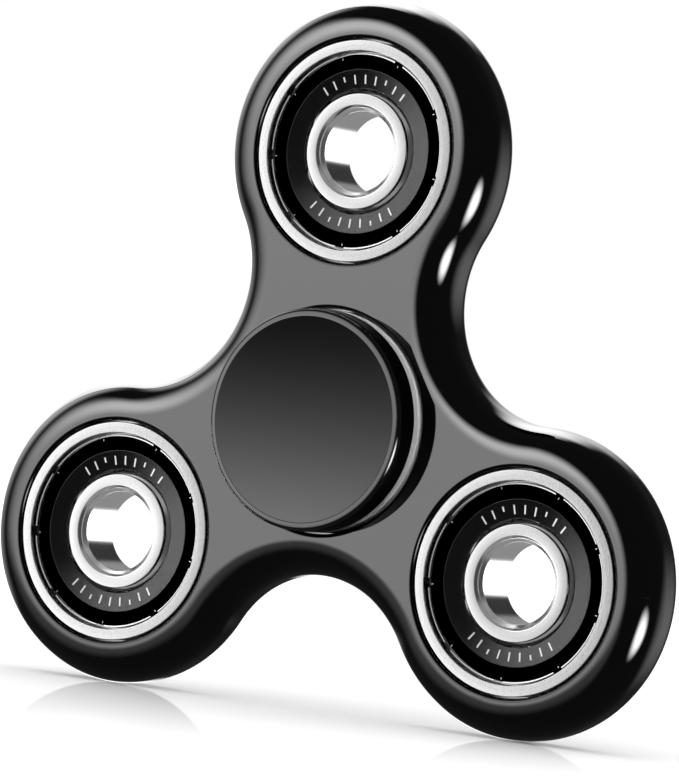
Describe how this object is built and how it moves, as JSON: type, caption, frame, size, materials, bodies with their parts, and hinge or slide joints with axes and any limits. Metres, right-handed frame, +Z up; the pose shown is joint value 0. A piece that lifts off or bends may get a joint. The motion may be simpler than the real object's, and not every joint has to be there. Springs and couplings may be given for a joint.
{
  "type": "fidget spinner",
  "caption": "Three-lobed hand spinner: glossy plastic body on a centre ball bearing with round finger caps, and open-bored ball bearings as weights in its lobes.",
  "frame": {"origin": "on the surface that the two lower lobes stand on, straight below the spin axis and midway between the two caps", "axes": "+Y along the spin axis from the front cap to the rear cap, +Z up through the middle of the top lobe, +X from the left lobe to the right lobe"},
  "size_m": [0.0772, 0.015, 0.0709],
  "materials": {
    "body_plastic": "high-gloss black moulded ABS",
    "cap_plastic": "gloss black moulded ABS, slightly softer than the body",
    "ring_steel": "ground and polished bearing steel",
    "shield_steel": "blackened pressed steel, satin",
    "cage_steel": "pressed steel, dull",
    "ball_steel": "mirror-polished ball steel"
  },
  "bodies": {
    "frame": {"body": "body_plastic", "centre_outer_ring": "ring_steel", "centre_front_shield": "shield_steel", "centre_rear_shield": "shield_steel", "top_outer_ring": "ring_steel", "top_front_shield": "shield_steel", "top_rear_shield": "shield_steel", "left_outer_ring": "ring_steel", "left_front_shield": "shield_steel", "left_rear_shield": "shield_steel", "right_outer_ring": "ring_steel", "right_front_shield": "shield_steel", "right_rear_shield": "shield_steel"},
    "hub": {"front_cap": "cap_plastic", "rear_cap": "cap_plastic", "centre_inner_ring": "ring_steel"},
    "centre_rolling_set": {"centre_cage": "cage_steel", "centre_ball_1": "ball_steel", "centre_ball_2": "ball_steel", "centre_ball_3": "ball_steel", "centre_ball_4": "ball_steel", "centre_ball_5": "ball_steel", "centre_ball_6": "ball_steel", "centre_ball_7": "ball_steel"},
    "top_inner": {"top_inner_ring": "ring_steel"},
    "top_rolling_set": {"top_cage": "cage_steel", "top_ball_1": "ball_steel", "top_ball_2": "ball_steel", "top_ball_3": "ball_steel", "top_ball_4": "ball_steel", "top_ball_5": "ball_steel", "top_ball_6": "ball_steel", "top_ball_7": "ball_steel"},
    "left_inner": {"left_inner_ring": "ring_steel"},
    "left_rolling_set": {"left_cage": "cage_steel", "left_ball_1": "ball_steel", "left_ball_2": "ball_steel", "left_ball_3": "ball_steel", "left_ball_4": "ball_steel", "left_ball_5": "ball_steel", "left_ball_6": "ball_steel", "left_ball_7": "ball_steel"},
    "right_inner": {"right_inner_ring": "ring_steel"},
    "right_rolling_set": {"right_cage": "cage_steel", "right_ball_1": "ball_steel", "right_ball_2": "ball_steel", "right_ball_3": "ball_steel", "right_ball_4": "ball_steel", "right_ball_5": "ball_steel", "right_ball_6": "ball_steel", "right_ball_7": "ball_steel"}
  },
  "joints": [
    {"name": "hub_spin", "type": "hinge", "parent": "frame", "child": "hub", "pos_m": [0, 0, 0.02873], "axis": [0, -1, 0], "continuous": true},
    {"name": "centre_cage_spin", "type": "hinge", "parent": "frame", "child": "centre_rolling_set", "pos_m": [0, 0, 0.02873], "axis": [0, -1, 0], "continuous": true},
    {"name": "top_inner_spin", "type": "hinge", "parent": "frame", "child": "top_inner", "pos_m": [0, 0, 0.05557], "axis": [0, -1, 0], "continuous": true},
    {"name": "top_cage_spin", "type": "hinge", "parent": "frame", "child": "top_rolling_set", "pos_m": [0, 0, 0.05557], "axis": [0, -1, 0], "continuous": true},
    {"name": "left_inner_spin", "type": "hinge", "parent": "frame", "child": "left_inner", "pos_m": [-0.02325, 0, 0.0153], "axis": [0, -1, 0], "continuous": true},
    {"name": "left_cage_spin", "type": "hinge", "parent": "frame", "child": "left_rolling_set", "pos_m": [-0.02325, 0, 0.0153], "axis": [0, -1, 0], "continuous": true},
    {"name": "right_inner_spin", "type": "hinge", "parent": "frame", "child": "right_inner", "pos_m": [0.02325, 0, 0.0153], "axis": [0, -1, 0], "continuous": true},
    {"name": "right_cage_spin", "type": "hinge", "parent": "frame", "child": "right_rolling_set", "pos_m": [0.02325, 0, 0.0153], "axis": [0, -1, 0], "continuous": true}
  ],
  "couplings": [
    {"joint": "centre_cage_spin", "follows": "hub_spin", "ratio": 0.3677},
    {"joint": "top_cage_spin", "follows": "top_inner_spin", "ratio": 0.3677},
    {"joint": "left_cage_spin", "follows": "left_inner_spin", "ratio": 0.3677},
    {"joint": "right_cage_spin", "follows": "right_inner_spin", "ratio": 0.3677}
  ]
}
